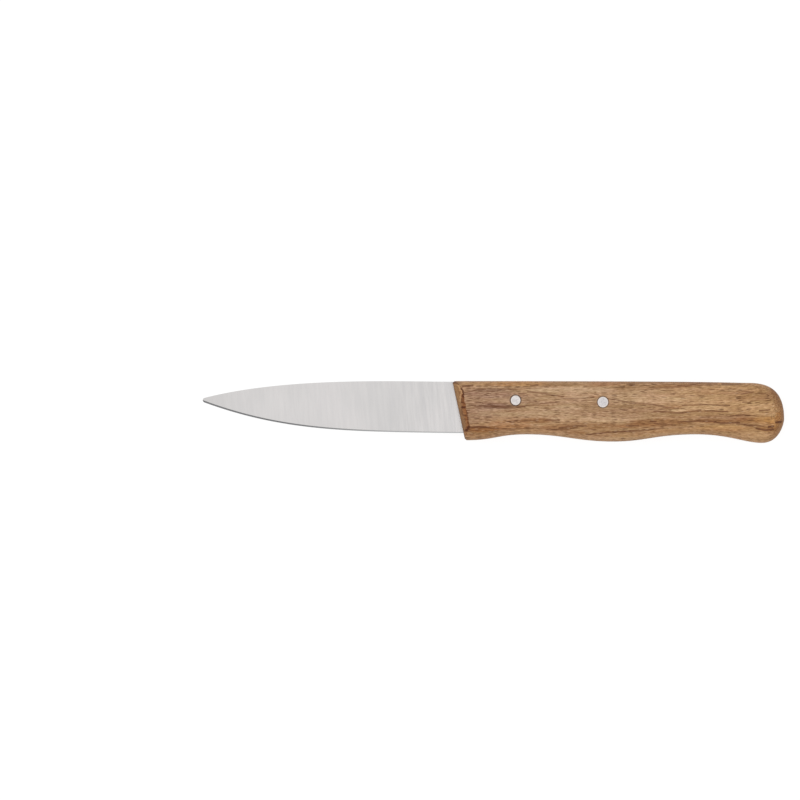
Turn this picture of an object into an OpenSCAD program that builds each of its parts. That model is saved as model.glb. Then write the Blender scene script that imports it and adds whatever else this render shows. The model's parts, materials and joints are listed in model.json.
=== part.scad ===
// Small kitchen knife: a thin flat-ground blade, a one-piece wooden handle and two plain rivets.
// The blade's tang lies in a saw slot that is open at the handle's front and along its back.
// The knife lies on its side. X runs from the tip to the butt, Y from the cutting edge to the
// back, Z through the thickness. The origin is the middle of the footprint on the resting face.

/* [Blade] */
// Length from the tip to the handle's upper front corner
blade_length = 83.2; // [70:0.1:110]
// Height from the handle's back line to the cutting edge, at the handle
blade_height = 17.3; // [15:0.1:18.5]
// Thickness of the sheet steel, which the tang keeps
stock_thickness = 1.5; // [1:0.05:2.5]
// Thickness of the ground back at the handle
spine_thickness = 1.4; // [0.8:0.05:2.4]
// Thickness of the ground back at the tip
tip_thickness = 0.6; // [0.4:0.05:1]
// Thickness of the blade just above the honed bevel
edge_thickness = 0.28; // [0.15:0.01:0.5]
// Width of the cutting edge itself, left flat
edge_land = 0.04; // [0.02:0.01:0.1]
// Height of the honed bevel at the handle
heel_bevel = 0.35; // [0.2:0.05:0.8]
// Height of the honed bevel towards the tip
tip_bevel = 0.6; // [0.3:0.05:1]
// Length over which the very tip is rounded
tip_round = 0.5; // [0.2:0.1:1.5]

/* [Tang and slot] */
// Depth of the saw slot below the handle's back
slot_depth = 13.2; // [11:0.1:14.5]
// How far the slot reaches past the rear rivet's centre, at that height
slot_past_rivet = 9.4; // [6:0.1:20]
// Radius of the saw that cut the slot
saw_radius = 40; // [30:1:60]
// How far the tang's upper edge lies below the handle's back
tang_recess = 0.2; // [0.05:0.05:0.8]
// Clearance between the tang and the slot, all round
slot_clearance = 0.05; // [0.02:0.01:0.2]
// Gap between the blade's shoulder and the handle's front
shoulder_gap = 0.1; // [0.05:0.05:0.5]

/* [Handle] */
// Length of the handle along its back
handle_length = 110.5; // [100:0.1:125]
// Thickness between the two flat sides
handle_thickness = 13; // [11:0.1:17]
// Height at the front end
front_height = 19.7; // [19:0.1:22]
// How far the lower front corner lies behind the upper one
front_rake = 4.3; // [0:0.1:8]
// Height at the hollow for the forefinger
front_hollow_height = 17.75; // [16.5:0.05:19]
// Height at the swell in the palm
swell_height = 20.15; // [19:0.05:22]
// Height at the hollow ahead of the butt
rear_hollow_height = 17.75; // [16.5:0.05:19]
// Height from the back line to the lowest point of the butt
heel_height = 20.6; // [20:0.05:23]
// Depth of the butt's rearmost point below the back line
butt_end_drop = 12.5; // [9:0.1:14]
// How far the back falls from the front to the butt
back_fall = 0.6; // [0:0.05:1]
// Width of the rounding along the back, seen on the flat side
back_round = 2.2; // [1:0.1:3]
// Width of the rounding along the belly, seen on the flat side
belly_round = 3.2; // [1.5:0.1:3.5]
// Width of the rounding at the butt's end, seen on the flat side
butt_round = 4.6; // [2:0.1:6]
// Depth of all these roundings into the thickness
round_depth = 4.6; // [2:0.1:5]
// Width of the front bevel on each side, at the back
bevel_top_width = 2.8; // [1:0.1:4]
// Width of the front bevel on each side, at the belly
bevel_low_width = 1.6; // [0.8:0.1:3]
// Depth of the front bevel into the thickness, at the back
bevel_depth = 1.6; // [1:0.1:4]
// Longer side of the front's broken upper corner, along the back
corner_break_long = 0.8; // [0.3:0.1:1.5]
// Its shorter side, down the front, and both sides of the broken lower corner
corner_break_short = 0.5; // [0.3:0.1:1.5]

/* [Rivets] */
// Diameter of the rivet's shank
rivet_diameter = 2.8; // [2:0.1:3.1]
// Diameter of the front rivet's peened heads
front_head_diameter = 3.3; // [3.15:0.05:5]
// Diameter of the rear rivet's peened heads
rear_head_diameter = 3.6; // [3.15:0.05:5]
// Height of the cone under each head's face
head_depth = 1; // [0.5:0.1:2]
// Distance of the front rivet from the handle's upper front corner
front_rivet_reach = 21; // [15:0.1:26]
// Distance of the rear rivet from the handle's upper front corner
rear_rivet_reach = 50; // [40:0.1:52]
// Depth of the front rivet below the handle's back
front_rivet_drop = 6.4; // [4.5:0.1:8]
// Depth of the rear rivet below the handle's back
rear_rivet_drop = 7; // [4.5:0.1:7.5]
// Clearance between the rivets and their holes, on the radius
rivet_clearance = 0.05; // [0.02:0.01:0.1]

/* [Hidden] */
$fn = 64;

// Overrun of every cut past the surface that it opens
overrun = 6;

// Evenly spaced control heights of the blade's back and edge, from the handle to the tip,
// as shares of the blade's height below the back line
spine_drop_shares = [0.012, 0.006, -0.028, 0.02, 0.08, 0.331];
edge_drop_shares = [1, 0.99, 0.965, 0.965, 0.754, 0.4];
// Least height that the rounded tip keeps, as a share of its height without rounding
tip_floor_share = 0.2;
// Most of a section's height that the honed bevel may take, as a share
bevel_limit_share = 0.45;
blade_stations = 56;

// Places along the handle as shares of its length
front_hollow_share = 0.226;
swell_share = 0.484;
rear_hollow_share = 0.734;
heel_share = 0.933;
back_end_share = 0.89;
// Lengths of the outline's curve handles, as shares of the span that each one serves
front_curve_shares = [0.49, 0.49];
swell_curve_shares = [0.4, 0.4];
rear_curve_shares = [0.39, 0.48];
heel_curve_shares = [0.5, 0.25];
butt_low_shares = [0.79, 0.2];
back_curve_shares = [0.95, 0.05];
butt_high_shares = [0.41, 0.94];
// Most of the distance from the heel to the butt's end that the belly's rounding may take
heel_limit_share = 0.55;
// Most of half the thickness that the roundings may take, as a share
depth_limit_share = 0.9;
span_steps = 12;
butt_steps = 16;
round_steps = 6;

total_length = blade_length + handle_length;
bevel_low_reach = front_rake + bevel_low_width;

// Where the handle's slanted front lies at a given depth below the back
function front_x(drop) = front_rake * drop / front_height;

// A Bernstein polynomial with evenly spaced control values, up to the fifth degree
function bernstein(values, t) =
    let (n = len(values))
    n == 1 ? values[0]
           : (1 - t) * bernstein([for (i = [0:n - 2]) values[i]], t)
             + t * bernstein([for (i = [1:n - 1]) values[i]], t);

// A cubic curve between two points, each with its own control point
function cubic(p, t) =
    pow(1 - t, 3) * p[0] + 3 * pow(1 - t, 2) * t * p[1] + 3 * (1 - t) * t * t * p[2]
    + pow(t, 3) * p[3];

// A span whose two ends run level, with curve handles as shares of its length
function level_span(a, b, shares, steps) =
    let (run = b[0] - a[0])
    [for (i = [0:steps - 1])
        cubic([a, a + [run * shares[0], 0], b - [run * shares[1], 0], b], i / steps)];

// One corner of the butt, which starts level and ends upright at the rearmost point
function butt_span(a, b, shares, steps) =
    let (run = b[0] - a[0], rise = b[1] - a[1])
    [for (i = [0:steps])
        cubic([a, a + [run * shares[0], 0], b - [0, rise * shares[1]], b], i / steps)];

butt_end = [handle_length, -butt_end_drop];
front_low = [-overrun, -front_height];
front_level = [front_rake, -front_height];
front_hollow = [handle_length * front_hollow_share, -front_hollow_height];
swell = [handle_length * swell_share, -swell_height];
rear_hollow = [handle_length * rear_hollow_share, -rear_hollow_height];
heel = [handle_length * heel_share, -heel_height];
back_end = [handle_length * back_end_share, -back_fall];

// The belly from the front to the butt's rearmost point, and the back over the same steps
belly_run = concat(
    [front_low],
    level_span(front_level, front_hollow, front_curve_shares, span_steps),
    level_span(front_hollow, swell, swell_curve_shares, span_steps),
    level_span(swell, rear_hollow, rear_curve_shares, span_steps),
    level_span(rear_hollow, heel, heel_curve_shares, span_steps),
    butt_span(heel, butt_end, butt_low_shares, butt_steps));
back_run = concat(
    [[-overrun, 0]],
    level_span([0, 0], back_end, back_curve_shares, 4 * span_steps),
    butt_span(back_end, butt_end, butt_high_shares, butt_steps));
run_count = len(belly_run);
straight_count = run_count - butt_steps;

// Unit normal that points into the handle, from a run's neighbouring points
function unit(v) = v / norm(v);
function inward(run, i, side) =
    let (d = unit(run[min(i + 1, run_count - 1)] - run[max(i - 1, 0)]))
    i == run_count - 1 ? [-1, 0] : side * [-d[1], d[0]];

// Width of the rounding at a point of a run, from the side's own width to the butt's
heel_limit = heel_limit_share * (handle_length - heel[0]);
function round_width(side_width, i) =
    let (t = max(0, i + 1 - straight_count) / butt_steps)
    (1 - t) * min(side_width, heel_limit) + t * butt_round;

// The ring of outline points, drawn in by a share of the rounding's width
function ring(draw_in) = concat(
    [for (i = [0:run_count - 1])
        belly_run[i] + inward(belly_run, i, 1) * round_width(belly_round, i) * draw_in],
    [for (i = [run_count - 2:-1:0])
        back_run[i] + inward(back_run, i, -1) * round_width(back_round, i) * draw_in]);

depth_of_round = min(round_depth, depth_limit_share * handle_thickness / 2);
ring_count = 2 * run_count - 1;

// The handle's block: rings from one flat side, round the edges, to the other flat side
module handle_block() {
    lower = [for (k = [0:round_steps])
        let (a = 90 * k / round_steps) [1 - sin(a), depth_of_round * (1 - cos(a))]];
    upper = [for (k = [round_steps:-1:0]) [lower[k][0], handle_thickness - lower[k][1]]];
    layers = concat(lower, upper);
    last = len(layers) - 1;
    points = [for (layer = layers) for (p = ring(layer[0])) [p[0], p[1], layer[1]]];
    walls = [for (k = [0:last - 1]) for (i = [0:ring_count - 1])
        let (a = k * ring_count + i, b = k * ring_count + (i + 1) % ring_count)
        for (f = [[a, a + ring_count, b], [b, a + ring_count, b + ring_count]]) f];
    caps = [for (i = [0:run_count - 2])
        let (a = i, b = i + 1, c = ring_count - 1 - i, d = ring_count - 2 - i,
             top = last * ring_count)
        for (f = concat([[a, b, c], [top + a, top + c, top + b]],
                        b == d ? [] : [[b, d, c], [top + b, top + c, top + d]])) f];
    polyhedron(points = points, faces = concat(walls, caps));
}

// The outline of a cutter that lies to the left of the line through two points
function left_of(a, b) =
    let (along = unit(b - a) * overrun, aside = [-along[1], along[0]])
    [a - along, b + along, b + along + aside, a - along + aside];

// A cutter of the given outline that passes right through the handle's thickness
module through_handle()
    translate([0, 0, -overrun]) linear_extrude(handle_thickness + 2 * overrun) children();

// What the slanted front, its two side bevels and its broken corners take off the block
module front_cuts() {
    bevel_run = bevel_low_reach - bevel_top_width;
    through_handle()
        polygon([[-2 * overrun, overrun], [front_x(-overrun), overrun],
                 [front_x(front_height + overrun), -front_height - overrun],
                 [-2 * overrun, -front_height - overrun]]);
    for (side = [0, 1])
        translate([bevel_top_width, 0, side * handle_thickness])
            mirror([0, 0, side])
                rotate([0, 0, atan(bevel_run / front_height)])
                    rotate([90, 0, 0])
                        translate([0, 0, -overrun])
                            linear_extrude(front_height + 2 * overrun)
                                bevel_profile();
    through_handle()
        polygon(left_of([front_x(corner_break_short), -corner_break_short], [corner_break_long, 0]));
    through_handle()
        polygon(left_of([front_rake + corner_break_short, -front_height],
                        [front_x(front_height - corner_break_short), corner_break_short - front_height]));
}

// The bevel's triangle, whose sloping side passes through the bevel's line on the flat side
module bevel_profile() {
    slope = bevel_depth / bevel_top_width;
    polygon([[overrun, -overrun * slope], [-overrun, overrun * slope], [-overrun, -overrun * slope]]);
}

// Where the slot's level floor ends and the saw's arc starts to rise
saw_centre_rise = saw_radius - slot_depth;
saw_reach_at_rivet = sqrt(pow(saw_radius, 2) - pow(saw_centre_rise + rear_rivet_drop, 2));
floor_end = rear_rivet_reach + slot_past_rivet - saw_reach_at_rivet;

// Side view of the tang, or of its slot when it is grown by the clearance
module tang_outline(grow, front, top) {
    floor_y = -slot_depth + slot_clearance - grow;
    polygon([[front_x(-top) - front, top], [front_x(-floor_y) - front, floor_y],
             [floor_end, floor_y], [floor_end, top]]);
    intersection() {
        translate([floor_end, saw_centre_rise])
            circle(r = saw_radius - slot_clearance + grow, $fn = 256);
        translate([floor_end, floor_y]) square([saw_radius, top - floor_y]);
    }
}

// A rivet with its two cones, which is peened and sanded flush with both flat sides
module rivet_body(head_diameter, grow = 0) {
    shank = rivet_diameter / 2 + grow;
    head = head_diameter / 2 + grow;
    cylinder(r = shank, h = handle_thickness);
    cylinder(r1 = head, r2 = shank, h = head_depth);
    translate([0, 0, handle_thickness - head_depth])
        cylinder(r1 = shank, r2 = head, h = head_depth);
}

// The countersunk hole for a rivet, open past both flat sides
module rivet_hole(head_diameter) {
    rivet_body(head_diameter, rivet_clearance);
    for (z = [-overrun, handle_thickness])
        translate([0, 0, z]) cylinder(r = head_diameter / 2 + rivet_clearance, h = overrun);
}

module at_front_rivet() translate([front_rivet_reach, -front_rivet_drop, 0]) children();
module at_rear_rivet() translate([rear_rivet_reach, -rear_rivet_drop, 0]) children();

// Half section of the blade at one station, then mirrored: back, bevel line and edge
function tip_factor(ahead) =
    ahead >= tip_round ? 1 : max(tip_floor_share, sqrt(1 - pow(1 - ahead / tip_round, 2)));
function section(x) =
    let (t = max(0, -x / blade_length), f = tip_factor(blade_length + x),
         back = -blade_height * bernstein(spine_drop_shares, t),
         edge = -blade_height * bernstein(edge_drop_shares, t),
         middle = (back + edge) / 2,
         back_y = middle + (back - middle) * f,
         edge_y = middle + (edge - middle) * f,
         bevel = min(heel_bevel + (tip_bevel - heel_bevel) * t, bevel_limit_share * (back_y - edge_y)),
         thick = spine_thickness + (tip_thickness - spine_thickness) * t)
    [[x, back_y, thick / 2], [x, edge_y + bevel, edge_thickness / 2], [x, edge_y, edge_land / 2],
     [x, edge_y, -edge_land / 2], [x, edge_y + bevel, -edge_thickness / 2], [x, back_y, -thick / 2]];

// The ground blade as one skin of sections that crowd together towards the tip
module ground_blade() {
    xs = concat([overrun], [for (i = [0:blade_stations]) -blade_length * sin(90 * i / blade_stations)]);
    sides = 6;
    last = (len(xs) - 1) * sides;
    points = [for (x = xs) each section(x)];
    walls = [for (k = [0:len(xs) - 2]) for (i = [0:sides - 1])
        let (a = k * sides + i, b = k * sides + (i + 1) % sides)
        for (f = [[a, b, a + sides], [b, b + sides, a + sides]]) f];
    ends = [for (i = [1:sides - 2])
        for (f = [[0, i + 1, i], [last, last + i, last + i + 1]]) f];
    polyhedron(points = points, faces = concat(walls, ends));
}

// A rivet's bore through the tang, which lies in the middle of the thickness
module tang_bore()
    translate([0, 0, -stock_thickness])
        cylinder(r = rivet_diameter / 2 + rivet_clearance, h = 2 * stock_thickness);

module blade() {
    tang_floor = slot_depth - slot_clearance;
    color("gainsboro")
        difference() {
            union() {
                difference() {
                    ground_blade();
                    translate([0, 0, -stock_thickness])
                        linear_extrude(2 * stock_thickness)
                            polygon([[front_x(tang_floor) - shoulder_gap, -tang_floor],
                                     [front_x(blade_height + overrun) - shoulder_gap,
                                      -blade_height - overrun],
                                     [2 * overrun, -blade_height - overrun],
                                     [2 * overrun, -tang_floor]]);
                }
                translate([0, 0, -stock_thickness / 2])
                    linear_extrude(stock_thickness)
                        tang_outline(0, 0, -tang_recess);
            }
            at_front_rivet() tang_bore();
            at_rear_rivet() tang_bore();
        }
}

module handle() {
    slot_width = stock_thickness + 2 * slot_clearance;
    color("peru")
        difference() {
            handle_block();
            front_cuts();
            translate([0, 0, (handle_thickness - slot_width) / 2])
                linear_extrude(slot_width)
                    tang_outline(slot_clearance, overrun, overrun);
            at_front_rivet() rivet_hole(front_head_diameter);
            at_rear_rivet() rivet_hole(rear_head_diameter);
        }
}

module front_rivet() {
    color("silver") at_front_rivet() rivet_body(front_head_diameter);
}

module rear_rivet() {
    color("silver") at_rear_rivet() rivet_body(rear_head_diameter);
}

// Moves the drawing from the handle's upper front corner to the middle of the footprint
module placed() translate([blade_length - total_length / 2, heel_height / 2, 0]) children();

placed() translate([0, 0, handle_thickness / 2]) blade();
placed() handle();
placed() front_rivet();
placed() rear_rivet();
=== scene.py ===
import json
import math

import bmesh
import bpy
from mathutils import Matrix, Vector

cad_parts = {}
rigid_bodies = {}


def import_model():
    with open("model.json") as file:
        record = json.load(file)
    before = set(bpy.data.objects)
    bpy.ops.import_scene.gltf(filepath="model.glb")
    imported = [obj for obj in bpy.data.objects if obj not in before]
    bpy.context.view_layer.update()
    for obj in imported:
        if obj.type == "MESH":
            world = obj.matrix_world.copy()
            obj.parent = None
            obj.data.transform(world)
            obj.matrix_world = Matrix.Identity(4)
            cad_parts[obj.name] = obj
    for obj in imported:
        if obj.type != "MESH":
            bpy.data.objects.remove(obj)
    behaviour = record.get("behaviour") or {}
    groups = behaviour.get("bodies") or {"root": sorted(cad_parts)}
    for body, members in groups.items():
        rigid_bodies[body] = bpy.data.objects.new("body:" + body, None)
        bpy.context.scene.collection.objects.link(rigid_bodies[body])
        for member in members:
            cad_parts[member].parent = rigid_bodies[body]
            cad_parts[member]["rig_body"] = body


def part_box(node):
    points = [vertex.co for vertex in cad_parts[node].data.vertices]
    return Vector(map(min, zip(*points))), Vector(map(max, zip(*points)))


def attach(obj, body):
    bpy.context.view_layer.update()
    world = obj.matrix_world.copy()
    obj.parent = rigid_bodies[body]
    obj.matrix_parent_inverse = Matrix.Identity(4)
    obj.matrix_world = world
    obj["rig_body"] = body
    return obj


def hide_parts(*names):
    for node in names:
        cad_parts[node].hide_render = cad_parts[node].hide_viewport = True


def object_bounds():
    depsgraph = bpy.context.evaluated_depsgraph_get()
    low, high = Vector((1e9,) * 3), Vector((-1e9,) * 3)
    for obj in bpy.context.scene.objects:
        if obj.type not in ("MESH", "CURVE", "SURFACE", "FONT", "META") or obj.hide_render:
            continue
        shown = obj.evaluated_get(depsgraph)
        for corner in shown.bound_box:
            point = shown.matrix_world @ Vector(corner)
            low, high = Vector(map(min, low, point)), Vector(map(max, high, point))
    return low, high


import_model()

# Blender's own start-up objects
for leftover in list(bpy.context.scene.objects):
    if "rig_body" not in leftover and "body:" not in leftover.name:
        bpy.data.objects.remove(leftover)
cad_low, cad_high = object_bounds()

# Sizes are in millimetres from the handle's upper front corner: x towards the butt, y up
# towards the back, which is y = 0, and z from the side that the knife lies on.
MM = 0.001

# Blade
BLADE_LENGTH = 83.2
BLADE_HEIGHT = 17.3
STOCK_THICKNESS = 1.5
SPINE_THICKNESS = 1.4
TIP_THICKNESS = 0.6
EDGE_THICKNESS = 0.28
EDGE_LAND = 0.04
HEEL_BEVEL = 0.35
TIP_BEVEL = 0.6
TIP_ROUND = 0.5
SPINE_ROUND = 0.1
# The curves of the back and the edge, from the handle to the tip: depths of their control
# points, in shares of the blade's height
SPINE_DROP_SHARES = (0.012, 0.006, -0.028, 0.02, 0.08, 0.331)
EDGE_DROP_SHARES = (1, 0.99, 0.965, 0.965, 0.754, 0.4)
# Shares of a section: the most of its half width and of its height that a corner takes, the
# most of its height that the honed bevel takes, and the least height left at the tip
CORNER_WIDTH_SHARE = 0.6
CORNER_HEIGHT_SHARE = 0.3
BEVEL_HEIGHT_SHARE = 0.45
LEAST_TIP_SHARE = 0.06
# The blade's sections lean like the handle's front, less and less over this length
LEAN_LENGTH = BLADE_LENGTH / 3
BLADE_STATIONS = 150
SIDE_STEPS = 12
CORNER_STEPS = 4
BLADE_CREASE_ANGLE = 8

# Tang and slot
SLOT_DEPTH = 13.2
SLOT_PAST_RIVET = 9.4
SAW_RADIUS = 40
TANG_RECESS = 0.2
CLEARANCE = 0.05
SHOULDER_GAP = 0.1
TANG_ARRIS = 0.15
LEAST_TANG_HEIGHT = 0.1
TANG_STATIONS = 70
SLOT_ARC_STEPS = 64

# Handle
FRONT_HEIGHT = 19.7
FRONT_RAKE = 4.3
# Low and high places of the belly: share of the handle's length, and depth below the back
FRONT_HOLLOW = (0.226, 17.75)
SWELL = (0.484, 20.15)
REAR_HOLLOW = (0.734, 17.75)
# The lowest place of the butt, the end of the level back, and how far down the rearmost point
# and that end lie
HEEL_SHARE = 0.933
BACK_END_SHARE = 0.89
BUTT_END_DROP = 12.5
BACK_FALL = 0.6
# How far each curve's two inner control points lie from its ends, as shares of its span
BELLY_CURVE_SHARES = ((0.49, 0.49), (0.4, 0.4), (0.39, 0.48), (0.5, 0.25))
BUTT_LOW_SHARES = (0.79, 0.2)
BACK_CURVE_SHARES = (0.95, 0.05)
BUTT_HIGH_SHARES = (0.41, 0.94)
# How far the rounded edges reach into the outline, and into the thickness
BACK_ROUND = 2.2
BELLY_ROUND = 3.2
BUTT_ROUND = 4.6
ROUND_DEPTH = 4.6
# The front's bevels and corners, then the handle's sharp edges
BEVEL_TOP_WIDTH = 2.8
BEVEL_LOW_WIDTH = 1.6
BEVEL_DEPTH = 1.6
CORNER_BREAK_LONG = 0.8
CORNER_BREAK_SHORT = 0.5
ARRIS_WIDTH = 0.16
ARRIS_ANGLE = 24
ARRIS_SEGMENTS = 2
SPAN_STEPS = 36
BUTT_STEPS = 44
ROUND_STEPS = 16
HANDLE_CREASE_ANGLE = 34
# How far a cutter reaches past what it cuts
OVERRUN = 6

# Rivets
SHANK_RADIUS = 1.4
HEAD_DEPTH = 1.0
# The worn rim of a head, from its flat top outwards: how far in from the edge in rim widths,
# and how far down in rim drops
RIM_WIDTH = 0.16
RIM_DROP = 0.05
RIM_PROFILE = ((1.8, 0), (1, 0.25), (0.35, 1), (0, 3))
RIVET_SEGMENTS = 96
RIVET_CREASE_ANGLE = 40

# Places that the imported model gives
CORNER_X = cad_low.x + BLADE_LENGTH * MM
BACK_Y = cad_high.y
THICKNESS = (cad_high.z - cad_low.z) / MM
MIDDLE = THICKNESS / 2
HANDLE_LENGTH = (cad_high.x - CORNER_X) / MM
HEEL_HEIGHT = (cad_high.y - cad_low.y) / MM


def rivet_place(node):
    """Centre and head radius of a rivet, in the handle's own millimetres."""
    low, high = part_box(node)
    x = ((low.x + high.x) / 2 - CORNER_X) / MM
    y = ((low.y + high.y) / 2 - BACK_Y) / MM
    return x, y, (high.x - low.x) / 2 / MM


RIVETS = {name: rivet_place(name) for name in ("front_rivet", "rear_rivet")}
REAR_X, REAR_Y, _ = RIVETS["rear_rivet"]
SAW_RISE = SAW_RADIUS - SLOT_DEPTH
FLOOR_END = REAR_X + SLOT_PAST_RIVET - math.sqrt(SAW_RADIUS ** 2 - (SAW_RISE - REAR_Y) ** 2)


def place(x, y, z):
    """A point of the handle's millimetres in the frame's metres."""
    return Vector((CORNER_X + x * MM, BACK_Y + y * MM, z * MM))


def front_x(drop):
    """Where the handle's slanted front lies at a depth below the back."""
    return FRONT_RAKE * drop / FRONT_HEIGHT


def mix(a, b, t):
    """The value that lies a share t of the way from a to b."""
    return a + (b - a) * t


def smooth(t):
    """0 up to 0, 1 from 1 on, and a soft rise between."""
    t = min(max(t, 0), 1)
    return t * t * (3 - 2 * t)


def add_object(name, data):
    """A new object in the scene."""
    made = bpy.data.objects.new(name, data)
    bpy.context.scene.collection.objects.link(made)
    return made


# Mesh helpers


def new_piece(name, points, faces):
    """A mesh object, faces outwards, whose points are given in the handle's millimetres."""
    mesh = bpy.data.meshes.new(name)
    mesh.from_pydata([place(*p) for p in points], [], faces)
    mesh.validate()
    piece = add_object(name, mesh)
    shape = bmesh.new()
    shape.from_mesh(mesh)
    bmesh.ops.recalc_face_normals(shape, faces=shape.faces)
    shape.to_mesh(mesh)
    shape.free()
    return piece


def loft(rings):
    """Points and faces of a skin through rings of as many points, closed at both ends."""
    count = len(rings[0])
    points = [p for ring in rings for p in ring]
    faces = []
    for k in range(len(rings) - 1):
        for i in range(count):
            a = k * count + i
            b = k * count + (i + 1) % count
            faces.append((a, b, b + count, a + count))
    for base in (0, len(points) - count):
        for i in range((count - 1) // 2):
            near, far = count - 1 - i, count - 2 - i
            corners = (i, i + 1, far, near) if far > i + 1 else (i, i + 1, near)
            faces.append([base + corner for corner in corners])
    return points, faces


def prism(outline, low, high):
    """A straight prism between two heights, used as a cutter."""
    count = len(outline)
    points = [(x, y, low) for x, y in outline] + [(x, y, high) for x, y in outline]
    faces = [tuple(range(count)), tuple(range(count, 2 * count))]
    for i in range(count):
        j = (i + 1) % count
        faces.append((i, j, j + count, i + count))
    return new_piece("prism", points, faces)


def lathe(name, centre, profile):
    """A turned piece round an upright axis; the profile runs from axis to axis."""
    x, y = centre
    count = RIVET_SEGMENTS
    points = [(x, y, profile[0][1])]
    for radius, z in profile[1:-1]:
        for i in range(count):
            angle = 2 * math.pi * i / count
            points.append((x + radius * math.cos(angle), y + radius * math.sin(angle), z))
    points.append((x, y, profile[-1][1]))
    last = len(points) - 1
    faces = []
    for i in range(count):
        j = (i + 1) % count
        faces.append((0, 1 + i, 1 + j))
        faces.append((last, last - count + i, last - count + j))
        for a in range(1, last - count, count):
            faces.append((a + i, a + count + i, a + count + j, a + j))
    return new_piece(name, points, faces)


def settle(piece):
    """Applies all of a piece's modifiers."""
    graph = bpy.context.evaluated_depsgraph_get()
    mesh = bpy.data.meshes.new_from_object(piece.evaluated_get(graph))
    piece.modifiers.clear()
    piece.data = mesh
    mesh.name = piece.name


def cut(piece, cutters):
    """Takes the cutters' shapes out of a piece."""
    for cutter in cutters:
        change = piece.modifiers.new("cut", "BOOLEAN")
        change.operation = "DIFFERENCE"
        change.solver = "EXACT"
        change.object = cutter
    settle(piece)
    for cutter in cutters:
        bpy.data.objects.remove(cutter)


def soften(piece):
    """Breaks the sharp edges of a piece."""
    change = piece.modifiers.new("arris", "BEVEL")
    change.width = ARRIS_WIDTH * MM
    change.segments = ARRIS_SEGMENTS
    change.limit_method = "ANGLE"
    change.angle_limit = math.radians(ARRIS_ANGLE)
    settle(piece)


def shade(piece, angle):
    """Smooth shading except across edges sharper than the angle."""
    piece.data.shade_smooth()
    piece.data.set_sharp_from_angle(angle=math.radians(angle))


# Handle


def cubic(p, t):
    """A point of the cubic curve with four control points."""
    s = 1 - t
    return p[0] * s ** 3 + p[1] * (3 * s * s * t) + p[2] * (3 * s * t * t) + p[3] * t ** 3


def level_span(a, b, shares, steps):
    """A span of the outline whose two ends run level."""
    run = b.x - a.x
    control = (a, a + Vector((run * shares[0], 0)), b - Vector((run * shares[1], 0)), b)
    return [cubic(control, i / steps) for i in range(steps)]


def butt_span(a, b, shares):
    """One corner of the butt, level at its start and upright at the rearmost point."""
    run, rise = b - a
    control = (a, a + Vector((run * shares[0], 0)), b - Vector((0, rise * shares[1])), b)
    return [cubic(control, i / BUTT_STEPS) for i in range(BUTT_STEPS + 1)]


def handle_runs():
    """The belly and the back, each from the front to the butt's rearmost point."""
    places = [Vector((FRONT_RAKE, -FRONT_HEIGHT))]
    for share, depth in (FRONT_HOLLOW, SWELL, REAR_HOLLOW, (HEEL_SHARE, HEEL_HEIGHT)):
        places.append(Vector((HANDLE_LENGTH * share, -depth)))
    butt = Vector((HANDLE_LENGTH, -BUTT_END_DROP))
    back_end = Vector((HANDLE_LENGTH * BACK_END_SHARE, -BACK_FALL))
    belly = [Vector((-OVERRUN, -FRONT_HEIGHT))]
    for a, b, shares in zip(places, places[1:], BELLY_CURVE_SHARES):
        belly += level_span(a, b, shares, SPAN_STEPS)
    belly += butt_span(places[-1], butt, BUTT_LOW_SHARES)
    back = [Vector((-OVERRUN, 0))]
    back += level_span(Vector((0, 0)), back_end, BACK_CURVE_SHARES, 4 * SPAN_STEPS)
    back += butt_span(back_end, butt, BUTT_HIGH_SHARES)
    return belly, back


def inward(run, i, side):
    """Unit normal that points into the handle from a point of a run."""
    if i == len(run) - 1:
        return Vector((-1, 0))
    along = (run[i + 1] - run[max(i - 1, 0)]).normalized()
    return Vector((-along.y, along.x)) * side


def handle_ring(belly, back, share):
    """The outline, drawn in by a share of each place's rounding."""
    count = len(belly)
    straight = count - BUTT_STEPS

    def drawn(run, i, side, width):
        t = max(0, i + 1 - straight) / BUTT_STEPS
        return run[i] + inward(run, i, side) * mix(width, BUTT_ROUND, t) * share

    ring = [drawn(belly, i, 1, BELLY_ROUND) for i in range(count)]
    return ring + [drawn(back, i, -1, BACK_ROUND) for i in range(count - 2, -1, -1)]


def handle_block():
    """The handle before it is cut: rings from one flat side, round the edges, to the other."""
    belly, back = handle_runs()
    quarter = [math.pi / 2 * k / ROUND_STEPS for k in range(ROUND_STEPS + 1)]
    lower = [(1 - math.sin(a), ROUND_DEPTH * (1 - math.cos(a))) for a in quarter]
    upper = [(share, THICKNESS - z) for share, z in reversed(lower)]
    rings = []
    for share, z in lower + upper:
        rings.append([(p.x, p.y, z) for p in handle_ring(belly, back, share)])
    return new_piece("handle_block", *loft(rings))


def bevel_cutter(side):
    """The wedge that takes one front bevel off; side is 0 below and 1 above."""
    top = Vector((BEVEL_TOP_WIDTH, 0))
    low = Vector((FRONT_RAKE + BEVEL_LOW_WIDTH, -FRONT_HEIGHT))
    along = (top - low).normalized()
    ahead = Vector((-along.y, along.x))
    rise = OVERRUN * (BEVEL_DEPTH / BEVEL_TOP_WIDTH)
    profile = [(-OVERRUN, -rise), (OVERRUN, rise), (OVERRUN, -rise)]
    points = []
    for end in (top + along * OVERRUN, low - along * OVERRUN):
        for reach, depth in profile:
            p = end + ahead * reach
            points.append((p.x, p.y, depth if side == 0 else THICKNESS - depth))
    faces = [(0, 1, 2), (3, 4, 5), (0, 1, 4, 3), (1, 2, 5, 4), (2, 0, 3, 5)]
    return new_piece("bevel", points, faces)


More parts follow.
